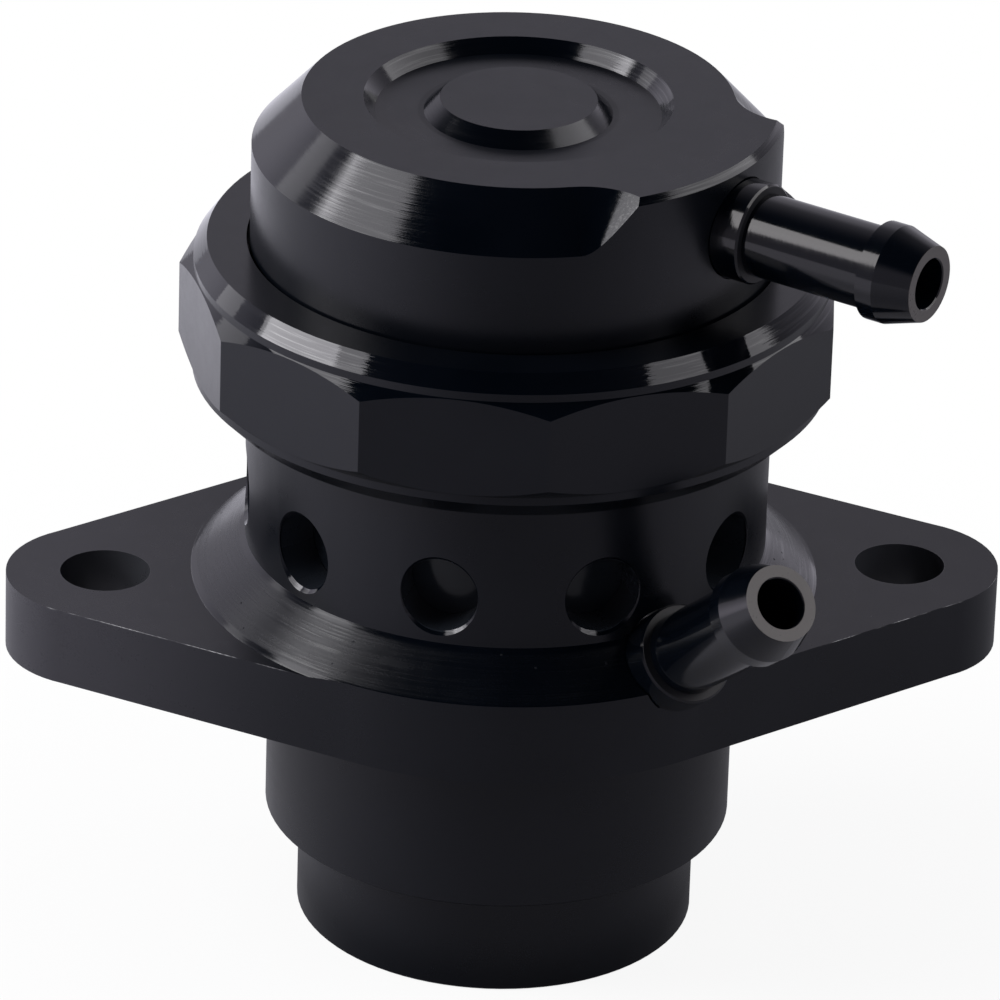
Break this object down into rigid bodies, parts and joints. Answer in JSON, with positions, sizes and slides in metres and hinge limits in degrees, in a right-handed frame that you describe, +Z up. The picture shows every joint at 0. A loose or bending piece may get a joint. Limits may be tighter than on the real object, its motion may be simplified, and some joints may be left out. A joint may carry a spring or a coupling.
{
  "type": "blow off valve",
  "caption": "Black anodised piston blow off valve: vented barrel on a diamond flange with stepped snout, faceted clamp ring, bevelled cap and barbed hose nipples.",
  "frame": {"origin": "on the valve axis at the underside of the flange, midway between the bolt holes", "axes": "+Z up to the cap, +X along the line of the bolt holes, front towards -Y"},
  "size_m": [0.0774, 0.0571, 0.0688],
  "materials": {
    "anodised_body": "black anodised, satin gloss",
    "anodised_ring": "black anodised, satin gloss",
    "anodised_cap": "black anodised, turned, satin gloss",
    "anodised_nipple": "black anodised, glossy",
    "piston_grey": "hard anodised, dull grey",
    "seal_rubber": "matt",
    "spring_steel": "drawn wire"
  },
  "bodies": {
    "valve": {"valve_body": "anodised_body", "clamp_ring": "anodised_ring", "top_cap": "anodised_cap", "cap_seal": "seal_rubber", "return_spring": "spring_steel", "upper_nipple": "anodised_nipple", "lower_nipple": "anodised_nipple"},
    "piston": {"piston": "piston_grey", "piston_seal": "seal_rubber", "seat_seal": "seal_rubber"}
  },
  "joints": [
    {"name": "piston_lift", "type": "slide", "parent": "valve", "child": "piston", "axis": [0, 0, 1], "range_m": [0, 0.008], "stiffness_N_per_m": 1000, "springref_m": -0.01, "deforming": ["return_spring"]}
  ]
}
